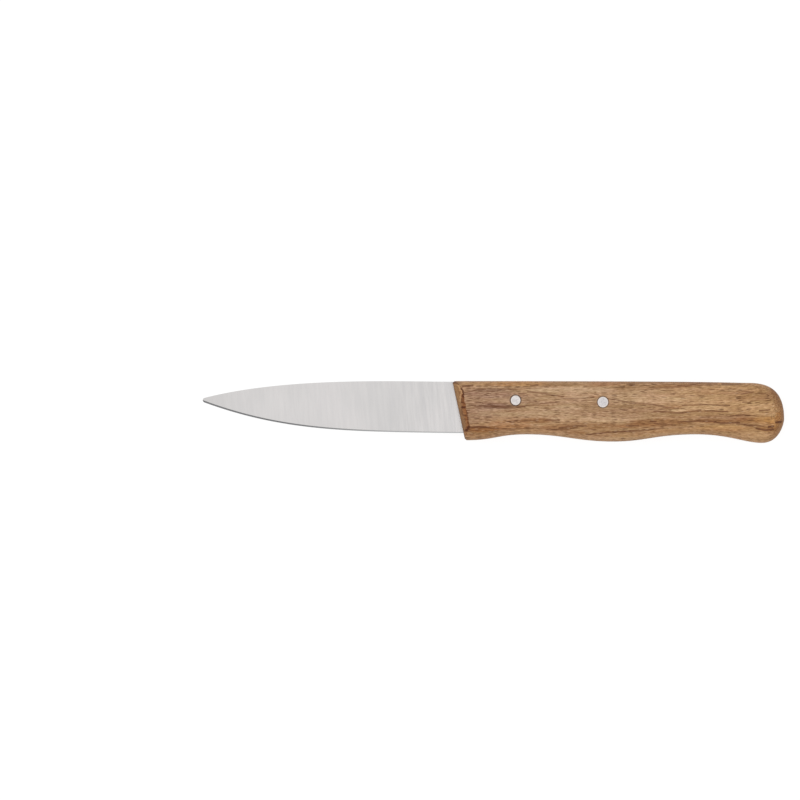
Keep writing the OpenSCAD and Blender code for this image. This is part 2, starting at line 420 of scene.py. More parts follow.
def left_of(a, b):
    """The outline of a cutter that lies to the left of the line through two points."""
    a, b = Vector(a), Vector(b)
    along = (b - a).normalized() * OVERRUN
    aside = Vector((-along.y, along.x))
    return [a - along, b + along, b + along + aside, a - along + aside]


def front_cutters():
    """What comes off the front: all ahead of its slant, two bevels and two corners."""
    bottom, top = -OVERRUN, THICKNESS + OVERRUN
    over = FRONT_HEIGHT + OVERRUN
    ahead = [(-2 * OVERRUN, OVERRUN), (front_x(-OVERRUN), OVERRUN), (front_x(over), -over),
             (-2 * OVERRUN, -over)]
    cutters = [prism(ahead, bottom, top), bevel_cutter(0), bevel_cutter(1)]
    up = FRONT_HEIGHT - CORNER_BREAK_SHORT
    high = left_of((front_x(CORNER_BREAK_SHORT), -CORNER_BREAK_SHORT), (CORNER_BREAK_LONG, 0))
    low = left_of((FRONT_RAKE + CORNER_BREAK_SHORT, -FRONT_HEIGHT), (front_x(up), -up))
    return cutters + [prism(outline, bottom, top) for outline in (high, low)]


def slot_cutter():
    """The saw slot: open at the front and along the back, with the saw's arc at its rear."""
    outline = [(front_x(-OVERRUN) - OVERRUN, OVERRUN), (front_x(SLOT_DEPTH) - OVERRUN, -SLOT_DEPTH)]
    top_angle = math.acos((SAW_RISE - OVERRUN) / SAW_RADIUS)
    for i in range(SLOT_ARC_STEPS + 1):
        angle = top_angle * i / SLOT_ARC_STEPS
        outline.append((FLOOR_END + SAW_RADIUS * math.sin(angle),
                        SAW_RISE - SAW_RADIUS * math.cos(angle)))
    half = STOCK_THICKNESS / 2 + CLEARANCE
    return prism(outline, MIDDLE - half, MIDDLE + half)


def rivet_hole(head):
    """Half section of the hole for a rivet with this head radius, from end to end."""
    head += CLEARANCE
    shank = SHANK_RADIUS + CLEARANCE
    top = THICKNESS + OVERRUN
    return [(0, -OVERRUN), (head, -OVERRUN), (head, 0), (shank, HEAD_DEPTH),
            (shank, THICKNESS - HEAD_DEPTH), (head, THICKNESS), (head, top), (0, top)]


def make_handle(wood):
    """The wooden handle, with its slot, its two rivet holes and its broken edges."""
    handle = handle_block()
    handle.name = "wood_handle"
    handle.data.materials.append(wood)
    cutters = front_cutters() + [slot_cutter()]
    cutters += [lathe("hole", (x, y), rivet_hole(head)) for x, y, head in RIVETS.values()]
    cut(handle, cutters)
    soften(handle)
    shade(handle, HANDLE_CREASE_ANGLE)
    return handle


# Blade


def bernstein(values, t):
    """The height of the curve with these control values."""
    n = len(values) - 1
    return sum(math.comb(n, k) * (1 - t) ** (n - k) * t ** k * v for k, v in enumerate(values))


def blade_curve(shares, x):
    """Height of the blade's back or edge at a place along it."""
    return -BLADE_HEIGHT * bernstein(shares, max(0, -x / BLADE_LENGTH))


def section(top, low, line, half_top, half_line, half_low, x_at):
    """A closed section: over the back, down one side to the edge, and up the other side."""
    corner = min(SPINE_ROUND, half_top * CORNER_WIDTH_SHARE, (top - line) * CORNER_HEIGHT_SHARE)
    side = []
    for i in range(CORNER_STEPS + 1):
        angle = math.pi / 2 * i / CORNER_STEPS
        down, into = 1 - math.cos(angle), 1 - math.sin(angle)
        side.append((top - corner * down, half_top - corner * into))
    start = side[-1]
    for i in range(1, SIDE_STEPS + 1):
        t = i / SIDE_STEPS
        side.append((mix(start[0], line, t), mix(start[1], half_line, t)))
    side.append((low, half_low))
    ring = [(x_at(y), y, MIDDLE + z) for y, z in side]
    return ring + [(x_at(y), y, MIDDLE - z) for y, z in reversed(side)]


def ground_section(station):
    """One section of the ground blade, which leans like the handle's front where it nears it."""
    lean = smooth(1 + station / LEAN_LENGTH)

    def x_at(y):
        return station + front_x(-y) * lean - SHOULDER_GAP * lean

    ahead = BLADE_LENGTH + station
    share = 1
    if ahead < TIP_ROUND:
        share = max(LEAST_TIP_SHARE, math.sqrt(1 - (1 - ahead / TIP_ROUND) ** 2))
    back = blade_curve(SPINE_DROP_SHARES, x_at(0))
    edge = blade_curve(EDGE_DROP_SHARES, x_at(-BLADE_HEIGHT))
    middle = (back + edge) / 2
    back = mix(middle, back, share)
    edge = mix(middle, edge, share)
    t = max(0, -station / BLADE_LENGTH)
    bevel = min(mix(HEEL_BEVEL, TIP_BEVEL, t), BEVEL_HEIGHT_SHARE * (back - edge))
    half_top = mix(SPINE_THICKNESS, TIP_THICKNESS, t) / 2
    return section(back, edge, edge + bevel, half_top, EDGE_THICKNESS / 2, EDGE_LAND / 2, x_at)


def tang_floor(x):
    """Height of the tang's lower edge: level, then rising along the saw's arc."""
    radius = SAW_RADIUS - CLEARANCE
    past = max(0, x - FLOOR_END)
    return SAW_RISE - math.sqrt(radius ** 2 - past ** 2)


def tang_section(station):
    """One section of the tang, which leans like the handle's front and is upright further in."""
    lean = smooth(1 - station / FLOOR_END)
    top = -TANG_RECESS
    low = min(tang_floor(station), top - LEAST_TANG_HEIGHT)

    def x_at(y):
        return station + front_x(-y) * lean

    half = STOCK_THICKNESS / 2
    arris = min(TANG_ARRIS, (top - low) * CORNER_HEIGHT_SHARE)
    return section(top, low, low + arris, half, half, half - arris, x_at)


def make_blade(ground, honed):
    """The blade and its tang in one skin, with the two bores through the tang."""
    stations = [-BLADE_LENGTH * math.sin(math.pi / 2 * i / BLADE_STATIONS)
                for i in range(BLADE_STATIONS, -1, -1)]
    rings = [ground_section(s) for s in stations]
    arc = (SAW_RADIUS - CLEARANCE) ** 2 - (SAW_RISE + TANG_RECESS) ** 2
    tang_length = FLOOR_END + math.sqrt(arc)
    rings += [tang_section(tang_length * i / TANG_STATIONS) for i in range(TANG_STATIONS + 1)]
    blade = new_piece("steel_blade", *loft(rings))
    blade.data.materials.append(ground)
    blade.data.materials.append(honed)
    # The land along the edge, and the bevel on each side of it
    count = len(rings[0])
    land = count // 2 - 1
    for k in range(len(stations) - 1):
        for i in (land - 1, land, land + 1):
            blade.data.polygons[k * count + i].material_index = 1
    low, high = MIDDLE - STOCK_THICKNESS, MIDDLE + STOCK_THICKNESS
    radius = SHANK_RADIUS + CLEARANCE
    profile = [(0, low), (radius, low), (radius, high), (0, high)]
    cut(blade, [lathe("bore", (x, y), profile) for x, y, _ in RIVETS.values()])
    shade(blade, BLADE_CREASE_ANGLE)
    return blade


# Rivets


def make_rivet(name, metal):
    """One rivet with a countersunk head at each end."""
    x, y, head = RIVETS[name]
    side = [(0, 0)]
    side += [(head - RIM_WIDTH * into, RIM_DROP * down) for into, down in RIM_PROFILE]
    side.append((SHANK_RADIUS, HEAD_DEPTH))
    profile = side + [(radius, THICKNESS - z) for radius, z in reversed(side)]
    rivet = lathe("peened_" + name, (x, y), profile)
    rivet.data.materials.append(metal)
    shade(rivet, RIVET_CREASE_ANGLE)
    return rivet


# Materials

# Takes the height out of a point
FLAT = (1, 1, 0)


def srgb(red, green, blue):
    """A shader colour from the 0 to 255 values that it should render as."""
    def linear(value):
        value /= 255
        return value / 12.92 if value <= 0.04045 else ((value + 0.055) / 1.055) ** 2.4
    return (linear(red), linear(green), linear(blue), 1)


def grey(level):
    """A linear grey, or an even tone to multiply by."""
    return (level, level, level, 1)


class Shader:
    """Builds a node tree out of short calls, which take values or other calls' outputs."""

    def __init__(self, tree):
        self.tree = tree
        tree.nodes.clear()

    def feed(self, socket, value):
        """Links an output to a socket, or sets the socket's own value."""
        if isinstance(value, bpy.types.NodeSocket):
            self.tree.links.new(value, socket)
        else:
            socket.default_value = value

    def add(self, kind, inputs, output=0, **settings):
        """A node with its settings and inputs; gives one of its outputs."""
        node = self.tree.nodes.new(kind)
        for key, value in settings.items():
            setattr(node, key, value)
        for key, value in inputs.items():
            self.feed(node.inputs[key], value)
        return None if output is None else node.outputs[output]

    def number(self, operation, a, b=0.0):
        return self.add("ShaderNodeMath", {0: a, 1: b}, operation=operation)

    def plus(self, a, b):
        return self.number("ADD", a, b)

    def minus(self, a, b):
        return self.number("SUBTRACT", a, b)

    def times(self, a, b):
        return self.number("MULTIPLY", a, b)

    def strongest(self, *masks):
        """The largest of several masks at each point."""
        total = masks[0]
        for mask in masks[1:]:
            total = self.number("MAXIMUM", total, mask)
        return total

    def vector(self, operation, a, b=(0, 0, 0), output=0):
        return self.add("ShaderNodeVectorMath", {0: a, 1: b}, output, operation=operation)

    def scaled(self, vector, factors):
        return self.vector("MULTIPLY", vector, factors)

    def length(self, vector):
        return self.vector("LENGTH", vector, output="Value")

    def split(self, vector):
        """The x, y and z of a vector."""
        node = self.tree.nodes.new("ShaderNodeSeparateXYZ")
        self.feed(node.inputs[0], vector)
        return node.outputs

    def join(self, x, y, z):
        return self.add("ShaderNodeCombineXYZ", {0: x, 1: y, 2: z})

    def step(self, value, low, high):
        """0 at low and 1 at high, with soft ends; low may be the larger one."""
        inputs = {"Value": value, "From Min": low, "From Max": high}
        return self.add("ShaderNodeMapRange", inputs, interpolation_type="SMOOTHSTEP", clamp=False)

    def noise(self, point, size, detail=2.0, roughness=0.5, output=0):
        """Noise whose lumps have a size in millimetres along x, y and z."""
        vector = self.scaled(point, tuple(1 / length for length in size))
        inputs = {"Vector": vector, "Scale": 1.0, "Detail": detail, "Roughness": roughness}
        return self.add("ShaderNodeTexNoise", inputs, output)

    def sway(self, point, size, reach, detail=2.0, roughness=0.5):
        """An offset that follows noise, up to half the reach either way."""
        noise = self.noise(point, size, detail, roughness, "Color")
        return self.scaled(self.vector("SUBTRACT", noise, (0.5, 0.5, 0.5)), reach)

    def curve(self, value, places, span):
        """A smooth curve through a few places, for values and heights from 0 to span."""
        node = self.tree.nodes.new("ShaderNodeFloatCurve")
        line = node.mapping.curves[0]
        line.points[0].location = (places[0][0] / span, places[0][1] / span)
        line.points[1].location = (places[-1][0] / span, places[-1][1] / span)
        for along, height in places[1:-1]:
            line.points.new(along / span, height / span)
        node.mapping.update()
        self.feed(node.inputs["Value"], self.number("DIVIDE", value, span))
        return self.times(node.outputs[0], span)

    def blend(self, factor, a, b, kind="MIX"):
        """The colour a with b mixed in or multiplied on; 6, 7 and 2 are the colour sockets."""
        node = self.tree.nodes.new("ShaderNodeMix")
        node.data_type = "RGBA"
        node.blend_type = kind
        for index, value in ((0, factor), (6, a), (7, b)):
            self.feed(node.inputs[index], value)
        return node.outputs[2]

    def toned(self, colour, value, span, tones):
        """A colour times a tone that goes from one to another as a value crosses a span."""
        tone = self.blend(self.step(value, *span), *tones)
        return self.blend(1.0, colour, tone, "MULTIPLY")

    def finish(self, colour, rough, height, strength, depth, **other):
        """The surface, roughened by a height of so many millimetres."""
        bump = {"Strength": strength, "Distance": depth * MM, "Height": height}
        normal = self.add("ShaderNodeBump", bump)
        inputs = {"Base Color": colour, "Roughness": rough, **other, "Normal": normal}
        surface = self.add("ShaderNodeBsdfPrincipled", inputs)
        self.add("ShaderNodeOutputMaterial", {"Surface": surface}, None)


def new_material(name):
    """An empty material, and the shader that fills it."""
    material = bpy.data.materials.new(name)
    material.use_nodes = True
    return material, Shader(material.node_tree)


def place_in_mm(shader):
    """The surface point in the handle's millimetres."""
    here = shader.add("ShaderNodeTexCoord", {}, "Object")
    from_corner = shader.vector("SUBTRACT", here, (CORNER_X, BACK_Y, 0))
    return shader.scaled(from_corner, (1 / MM, 1 / MM, 1 / MM))


def from_axis(shader, place_mm, x, y):
    """Distance from an upright axis, in millimetres."""
    off = shader.vector("SUBTRACT", place_mm, (x, y, 0))
    return shader.length(shader.scaled(off, FLAT))


# The share of a soft line's half width that has its full strength
LINE_CORE_SHARE = 0.15


def line_group():
    """A node group that says how strongly a point lies on a soft line between two places."""
    tree = bpy.data.node_groups.new("soft_line", "ShaderNodeTree")
    part = Shader(tree)
    for name in ("Point", "Start", "End"):
        tree.interface.new_socket(name, in_out="INPUT", socket_type="NodeSocketVector")
    tree.interface.new_socket("Width", in_out="INPUT", socket_type="NodeSocketFloat")
    tree.interface.new_socket("Mask", in_out="OUTPUT", socket_type="NodeSocketFloat")
    given = tree.nodes.new("NodeGroupInput").outputs
    run = part.vector("SUBTRACT", given["End"], given["Start"])
    out = part.vector("SUBTRACT", given["Point"], given["Start"])
    along = part.vector("DOT_PRODUCT", out, run, "Value")
    whole = part.vector("DOT_PRODUCT", run, run, "Value")
    share = part.number("DIVIDE", along, whole)
    share = part.number("MINIMUM", part.number("MAXIMUM", share), 1.0)
    nearest = part.add("ShaderNodeVectorMath", {0: run, "Scale": share}, operation="SCALE")
    distance = part.length(part.vector("SUBTRACT", out, nearest))
    core = part.times(given["Width"], LINE_CORE_SHARE)
    mask = part.step(distance, given["Width"], core)
    part.feed(tree.nodes.new("NodeGroupOutput").inputs["Mask"], mask)
    return tree


def soft_lines(shader, point, group, lines):
    """The mask of lines given as (half width, strength, place, place, ...)."""
    total = 0.0
    for width, strength, *places in lines:
        for (start_x, start_depth), (end_x, end_depth) in zip(places, places[1:]):
            inputs = {"Point": point, "Start": (start_x, -start_depth, 0),
                      "End": (end_x, -end_depth, 0), "Width": width}
            mask = shader.add("ShaderNodeGroup", inputs, node_tree=group)
            total = shader.strongest(total, shader.times(mask, strength))
    return total


def soft_spot(shader, point, x, depth, half_length, half_height):
    """1 in the middle of a soft ellipse and 0 outside it."""
    off = shader.vector("SUBTRACT", point, (x, -depth, 0))
    reach = shader.scaled(off, (1 / half_length, 1 / half_height, 0))
    return shader.step(shader.length(reach), 1.0, 0.5)


# Wood

# How far the rings lean, and how far and where the fibres climb near the butt
RING_LEAN = 0.35
BUTT_CLIMB = 2.2
CLIMB_X = (86, 112)
CLIMB_Y = (-14, -6)
# Wavers of the figure: size of their lumps, and reach across the grain
WAVERS = (((22, 5, 5), 0.6), ((5, 1.2, 1.2), 0.16))
# Sizes of its unevenness along the grain, across it and through it
BROAD_SIZE = (38, 3, 3)
BAND_SIZE = (18, 0.9, 0.9)
HUE_SIZE = (9, 1.3, 1.3)
LONG_FIBRE_SIZE = (5.5, 0.34, 0.34)
SHORT_FIBRE_SIZE = (1.5, 0.2, 0.2)
FIBRE_ROUGHNESS = 0.6
# Dashes along the grain: length and width of a cell, the share of cells that hold one, its size
# in its cell, and a shift that sets its cells apart from the others'
FINE_PORES = (3.2, 0.29, 0.42, 0.38, 0)
COARSE_PORES = (5.0, 0.46, 0.1, 0.28, 0)
FLECKS = (2.0, 0.42, 0.26, 0.36, 31.7)
DASH_SOFTNESS = 0.12
WOOD_DARK = srgb(162, 126, 92)
WOOD_LIGHT = srgb(178, 142, 108)
LINE_BROWN = srgb(106, 66, 41)
PORE_BROWN = srgb(90, 56, 31)
FLECK_LIGHT = srgb(206, 172, 141)
# Tones that multiply what lies under them
RICHER_TONE = (1.035, 0.957, 0.78, 1)
BAND_TONES = ((0.93, 0.9, 0.875, 1), (1.05, 1.075, 1.1, 1))
HUE_TONES = ((0.985, 1.01, 0.98, 1), (1.02, 0.99, 1.02, 1))
FIBRE_CONTRASTS = ((0.75, 1.25), (0.62, 1.38))
# Painted shade for the edges that turn from the flat sides, then the tone of the end grain
EDGE_SHADE_TONE = (0.82, 0.73, 0.66, 1)
END_TONE = (0.7, 0.6, 0.52, 1)
# Tints of the figure's patches
DULL_TINT = (154, 118, 94)
LIGHT_TINT = (194, 160, 126)
BROWN_TINT = (140, 96, 58)
STAIN_TINT = (136, 101, 81)
RED_TINT = (168, 120, 84)
GOLD_TINT = (177, 136, 96)
AMBER_TINT = (188, 139, 88)
# The wood has few pores in patches of these tints
CALM_TINTS = (GOLD_TINT, LIGHT_TINT)

# Figure of the wood on its flat sides, in millimetres behind the upper front corner and below
# the back. Each patch is its centre, half length, half height and strength.
PATCHES = (
    (DULL_TINT, (
        (13, 4.2, 11, 2.1, 0.8), (61, 10.4, 13, 3, 0.15), (8, 8.5, 9, 7.5, 0.5),
        (90, 12.2, 12, 1.5, 0.6), (12, 8.3, 8, 2, 0.4), (108, 4.5, 4, 3, 0.25),
        (94, 3.6, 7, 1.4, 0.35), (21, 6, 8, 2, 0.5), (7, 13, 2.6, 1.4, 0.5),
        (104, 5.2, 5, 2, 0.15))),
    (LIGHT_TINT, (
        (37, 2.9, 14, 1.3, 0.65), (49, 3, 7, 1.2, 0.45), (66, 5.4, 17, 2.2, 0.5),
        (86, 5.8, 13, 2, 0.25), (75.3, 9.8, 3.6, 0.6, 0.9), (84, 9, 10, 0.9, 0.6),
        (101, 8.8, 8, 1.9, 0.15), (15, 10.6, 8, 1.9, 0.2), (27, 10.6, 8, 1.9, 0.4),
        (67, 11.4, 7, 1.3, 0.4), (101, 18.2, 8, 1.8, 0.5), (48, 12.7, 9, 1.1, 0.35),
        (41, 5, 6, 1.3, 0.6), (38, 9.2, 7, 1.5, 0.5))),
    (BROWN_TINT, (
        (10, 16, 8, 1.5, 1), (20, 15.4, 9, 1.4, 0.7), (35, 15.3, 8, 1.4, 0.5),
        (50, 15, 11, 1.4, 0.42), (69, 13.9, 14, 1.7, 0.8), (61, 15, 8, 1.2, 0.62),
        (27, 13.1, 8, 1.2, 0.8), (86, 13.2, 9, 0.9, 0.7), (98, 13, 7, 1.3, 0.6),
        (74, 1.8, 10, 0.6, 0.6), (58, 1.5, 17, 1.3, 0.12), (41, 17.3, 5, 0.8, 0.5),
        (8, 18, 7, 2.4, 0.5), (108, 4, 3, 2.2, 0.5), (105, 16, 4.5, 1.2, 0.75))),
    (STAIN_TINT, (
        (14.5, 8.4, 8, 1.2, 0.8), (13, 3, 6, 0.7, 0.4))),
    (RED_TINT, (
        (19, 14.3, 9, 2, 0.6), (52, 1, 8, 0.8, 0.4), (84, 1.4, 8, 0.5, 0.3),
        (37, 5, 3, 0.5, 0.35), (73.5, 8.5, 4, 0.6, 0.4), (47.5, 5.2, 2.6, 0.4, 0.5))),
    (GOLD_TINT, (
        (15, 1.1, 17, 0.8, 0.6), (73, 16.9, 11, 1.3, 0.75), (89, 15.7, 12, 1.4, 0.75),
        (60, 18.4, 10, 0.9, 0.5), (27, 17, 10, 0.9, 0.5))),
    (AMBER_TINT, (
        (22, 1.2, 12, 0.7, 0.55), (107, 14.6, 2.4, 1.6, 0.45), (105.3, 13, 2.4, 1.3, 0.7),
        (104, 13, 5, 1.8, 0.35), (108.3, 12, 1.4, 2.2, 0.6))),
)
# Dark lines and long pores of the same figure: half width, strength, then the places they join
DARK_LINES = (
    (0.6, 0.9, (7.5, 8.3), (13, 8.5), (19, 8.7), (24, 8.4)),
    (0.4, 0.7, (5.5, 8), (10, 8.2), (18, 8.4), (24, 8.2), (27, 8)),
    (0.4, 0.5, (10, 7.4), (18, 7.5)),
    (0.36, 0.9, (3.4, 1.75), (6.8, 1.7)),
    (0.36, 0.75, (4, 3.9), (7.5, 3.1), (11, 2.8)),
    (0.32, 0.8, (11.5, 3.5), (15, 3.4)),
    (0.32, 0.7, (15, 2.7), (18.4, 2.8), (21.5, 3)),
    (0.3, 0.7, (22, 4.2), (24.5, 4.1)),
    (0.55, 1.25, (5.3, 15.4), (8, 15.2), (12.2, 15.3)),
    (0.4, 0.7, (12, 15.6), (17, 15.9), (27, 15.9)),
    (0.34, 0.6, (5, 16.9), (8, 16.3)),
    (0.36, 0.8, (18.2, 13.5), (21.5, 13.2)),
    (0.36, 0.6, (22.5, 13.4), (27.7, 13.1)),
    (0.34, 0.8, (26, 1.5), (28.4, 1.5)),
    (0.45, 0.7, (25, 3.5), (29, 3.9), (33, 4.6), (37, 5.1)),
    (0.36, 0.6, (36, 5.8), (41, 5.8), (47, 5.3)),
    (0.32, 0.65, (25.5, 6.9), (28, 6.7)),
    (0.34, 0.8, (28, 7.6), (31.5, 7.3), (34.5, 7.1)),
    (0.4, 0.95, (31, 13), (35.5, 13)),
    (0.45, 0.95, (31.5, 16.2), (36, 16.1), (39, 15.8), (41.5, 15.3)),
    (0.55, 0.85, (35.5, 15.7), (38.5, 15.2), (41, 14.9), (44.3, 14.8)),
    (0.45, 1, (44.5, 18), (48, 17.5), (53, 17), (58, 16.8), (62, 16.5)),
    (0.4, 0.85, (62, 16.7), (66, 16.3), (70, 15.7)),
    (0.4, 0.55, (64, 2.9), (68, 2.4), (73, 2.1), (78, 1.7), (83, 1.4), (88, 1.5)),
    (0.34, 0.7, (58, 1.4), (60.5, 1.4)),
    (0.42, 0.7, (50.5, 5.6), (54, 6.2), (57.5, 6.9), (62, 7.4), (67, 7.9), (71, 8.7), (75, 9.1)),
    (0.4, 0.85, (67, 10), (70.5, 10.1), (73.5, 10.5), (76.5, 10.6), (79, 10.1), (82.5, 9.8)),
    (0.36, 0.85, (84, 10), (87.5, 10.1), (91.5, 10.2)),
    (0.4, 0.75, (76.5, 8.1), (82, 7.9), (86, 8), (92, 8.1)),
    (0.45, 1, (65.8, 13.5), (67.6, 13.5)),
    (0.4, 0.8, (67, 14.2), (70, 14.5), (73, 14.5)),
    (0.45, 0.9, (57.8, 14.8), (61.8, 14.9)),
    (0.45, 0.9, (75, 13.7), (78.5, 13.4), (82, 13.2), (87.5, 13.3)),
    (0.45, 0.9, (87, 13.7), (91, 13.9), (95.3, 13.8)),
    (0.4, 0.8, (94.5, 14.2), (98, 14.4), (102.5, 14.9)),
    (0.4, 0.75, (92.5, 11.4), (97, 11.3), (101, 11.6)),
    (0.4, 0.8, (89.7, 1.6), (96, 1.5)),
    (0.34, 0.8, (96, 4.4), (100, 3.6)),
    (0.34, 0.8, (102, 4.2), (104, 4)),
    (0.34, 0.5, (94.5, 5.6), (97.2, 5.2)),
    (0.34, 0.8, (96.5, 7.1), (99, 7.2)),
    (0.4, 0.9, (102, 9.8), (105.5, 9.5)),
    (0.5, 1.2, (101, 15.8), (104, 16.4), (106.5, 16.2)),
    (0.4, 0.9, (97, 14.6), (101, 14.9), (103.5, 15.2)),
    (0.65, 1.6, (105.2, 15.3), (106.6, 15.2)),
    (0.65, 1.8, (107.7, 13.9), (109.2, 14.3)),
)


def wood_point(shader, place_mm):
    """The point that the wood's figure follows: leaning rings, with a natural waver."""
    x, y, z = shader.split(place_mm)
    sunk = shader.times(shader.minus(z, THICKNESS), RING_LEAN)
    point = shader.join(x, shader.plus(y, sunk), z)
    for size, reach in WAVERS:
        point = shader.vector("ADD", point, shader.sway(point, size, (0, reach, 0)))
    return point


def climbing_point(shader, point):
    """The same point where the fibres climb towards the back, which they do near the butt."""
    x, y, z = shader.split(point)
    climb = shader.times(shader.step(x, *CLIMB_X), shader.step(y, *CLIMB_Y))
    return shader.join(x, shader.minus(y, shader.times(climb, BUTT_CLIMB)), z)


def dash_mask(shader, point, dashes, gathered):
    """Short dashes along the grain, more of them where gathered is high."""
    length, width, share, size, shift = dashes
    cells = shader.scaled(point, (1 / length, 1 / width, 1 / width))
    node = shader.tree.nodes.new("ShaderNodeTexVoronoi")
    node.inputs["Scale"].default_value = 1
    shader.feed(node.inputs["Vector"], shader.vector("ADD", cells, (shift, shift, shift)))
    dash = shader.step(node.outputs["Distance"], size, size * 0.7)
    draw = shader.add("ShaderNodeSeparateColor", {0: node.outputs["Color"]})
    bar = 1 - share
    chosen = shader.step(shader.plus(draw, gathered), bar - DASH_SOFTNESS, bar + DASH_SOFTNESS)
    return shader.times(dash, shader.number("MINIMUM", chosen, 1.0))


def patched(shader, colour, flat, bands):
    """The colour with the figure's patches on it, and the mask of the calm ones."""
    calm = 0.0
    for tint, patches in PATCHES:
        for x, depth, half_length, half_height, strength in patches:
            mask = soft_spot(shader, flat, x, depth, half_length, half_height)
            if tint in CALM_TINTS:
                calm = shader.strongest(calm, shader.times(mask, strength))
            patchy = shader.times(mask, shader.step(bands, 0.1, 0.5))
            colour = shader.blend(shader.times(patchy, strength), colour, srgb(*tint))
    return colour, calm


def make_wood():
    """Oiled wood with open pores, in the figure given above."""
    material, shader = new_material("oiled_open_pored_wood")
    place_mm = place_in_mm(shader)
    point = wood_point(shader, place_mm)
    flat = shader.scaled(point, FLAT)
    climbing = climbing_point(shader, point)
    group = line_group()

    broad = shader.noise(point, BROAD_SIZE, 3.0)
    bands = shader.noise(climbing, BAND_SIZE, 3.0)
    hues = shader.noise(climbing, HUE_SIZE)
    long_fibres = shader.noise(climbing, LONG_FIBRE_SIZE, 2.0, FIBRE_ROUGHNESS)
    short_fibres = shader.noise(climbing, SHORT_FIBRE_SIZE, 2.0, FIBRE_ROUGHNESS)
    ragged = shader.step(long_fibres, 0.3, 0.6)

    # Colour of the ground, with its patches, bands and fibres
    colour = shader.blend(shader.step(broad, 0.36, 0.64), WOOD_DARK, WOOD_LIGHT)
    colour, calm = patched(shader, colour, flat, bands)
    x, y, _ = shader.split(point)
    towards_butt = shader.step(x, 45, 100)
    towards_belly = shader.times(shader.step(y, -11, -15), 0.5)
    towards_back = shader.times(shader.step(y, -2.6, -0.6), 0.6)
    richer = shader.times(shader.strongest(towards_butt, towards_belly, towards_back), 0.85)
    colour = shader.blend(richer, colour, RICHER_TONE, "MULTIPLY")
    colour = shader.toned(colour, bands, (0.25, 0.75), BAND_TONES)
    colour = shader.toned(colour, hues, (0.3, 0.7), HUE_TONES)
    for fibres, (dark, light) in zip((long_fibres, short_fibres), FIBRE_CONTRASTS):
        tones = ((dark, dark * 0.91, dark * 0.8, 1), (light, light * 1.06, light * 1.13, 1))
        colour = shader.toned(colour, fibres, (0.22, 0.78), tones)

    # Dark lines, which stay near the flat sides
    _, _, z = shader.split(place_mm)
    from_middle = shader.number("ABSOLUTE", shader.minus(z, MIDDLE))
    lines = soft_lines(shader, flat, group, DARK_LINES)
    lines = shader.times(lines, shader.step(from_middle, 3, 5))
    broken = shader.times(lines, shader.plus(ragged, 0.3))
    colour = shader.blend(shader.times(broken, 0.78), colour, LINE_BROWN)

    # Pores, which gather along the lines and towards the ends, and light flecks
    at_butt = shader.times(towards_butt, 0.02)
    at_front = shader.times(shader.step(x, 34, 12), 0.2)
    towards_ends = shader.plus(at_butt, at_front)
    gathered = shader.plus(shader.times(lines, 0.5), towards_ends)
    gathered = shader.minus(gathered, shader.times(calm, 0.4))
    fine = dash_mask(shader, climbing, FINE_PORES, gathered)
    coarse = dash_mask(shader, climbing, COARSE_PORES, gathered)
    end, side = end_and_side(shader)
    open_side = shader.minus(1.0, shader.times(end, 0.7))
    pores = shader.times(shader.strongest(fine, coarse), open_side)
    colour = shader.blend(shader.times(pores, 0.78), colour, PORE_BROWN)
    flecks = dash_mask(shader, climbing, FLECKS, towards_ends)
    colour = shader.blend(shader.times(flecks, 0.36), colour, FLECK_LIGHT)

    # Painted shade on the edges and round the rivets, the oiled end grain and the torn bevel
    # Painted shade where the surface turns from the flat sides towards the edges
    colour = shader.blend(shader.times(side, 0.48), colour, EDGE_SHADE_TONE, "MULTIPLY")
    colour = shader.blend(shader.times(end, 0.8), colour, END_TONE, "MULTIPLY")
    # The torn bevel, with painted shade along the front
    colour, torn_edge = bevel_tone(shader, place_mm, colour, group)
    # Painted shade round the rivets
    colour = rivet_ring_shade(shader, place_mm, colour, long_fibres)

    rough = shader.plus(shader.times(pores, 0.2), 0.58)
    height = shader.minus(shader.times(long_fibres, 0.5), pores)
    height = shader.minus(height, torn_edge)
    shader.finish(colour, rough, height, 0.35, 0.12, **{"Specular IOR Level": 0.2})
    return material


def end_and_side(shader):
    """How far the surface faces along the handle, and how far it faces the back or the belly."""
    normal = shader.add("ShaderNodeNewGeometry", {}, "Normal")
    along, _, upright = shader.split(shader.vector("ABSOLUTE", normal))
    return shader.step(along, 0.2, 0.65), shader.step(upright, 0.75, 0.1)


# The bevel's rough end grain: where it ends on the flat side, as depth below the back and x,
# then its dark tears and its light crest in the form of the lines above
BEVEL_BORDER = ((0, 1.2), (1.9, 2.7), (4.1, 3.7), (5.6, 3.9), (7.4, 4.4), (9.2, 4.6), (11.9, 5.1),
                (14.6, 5.6), (16, 5), (17, 3.9), (19.7, 3.9))
BEVEL_TEARS = (
    (0.3, 0.75, (0.9, 0.3), (2, 1.2)),
    (0.45, 0.8, (0.1, 0.5), (1.1, 0.5)),
    (0.42, 1, (3, 2.5), (3.4, 3.5), (3.7, 4.4), (3.5, 5.3)),
    (0.3, 0.6, (2.9, 5.6), (2.8, 7)),
    (0.42, 0.8, (2.9, 7.2), (4, 7.2)),
    (0.6, 1, (3.1, 8.7), (4.1, 8.8)),
    (0.34, 0.65, (3.2, 9.4), (3.2, 11)),
    (0.36, 0.7, (3.6, 11.3), (4.6, 11.4)),
    (0.32, 0.7, (4.7, 10), (5.1, 12.2), (5.2, 13.6), (5.5, 14.8)),
    (0.75, 1, (5.4, 15.1), (5.1, 15.8), (4.5, 16.5)),
)
BEVEL_CREST = (
    (0.34, 0.75, (1.6, 1.1), (2.3, 2), (2.6, 3), (3, 3.9), (2.6, 4.9), (2.5, 6.8)),
)
TEAR_SIZE = (0.8, 0.5, 2)
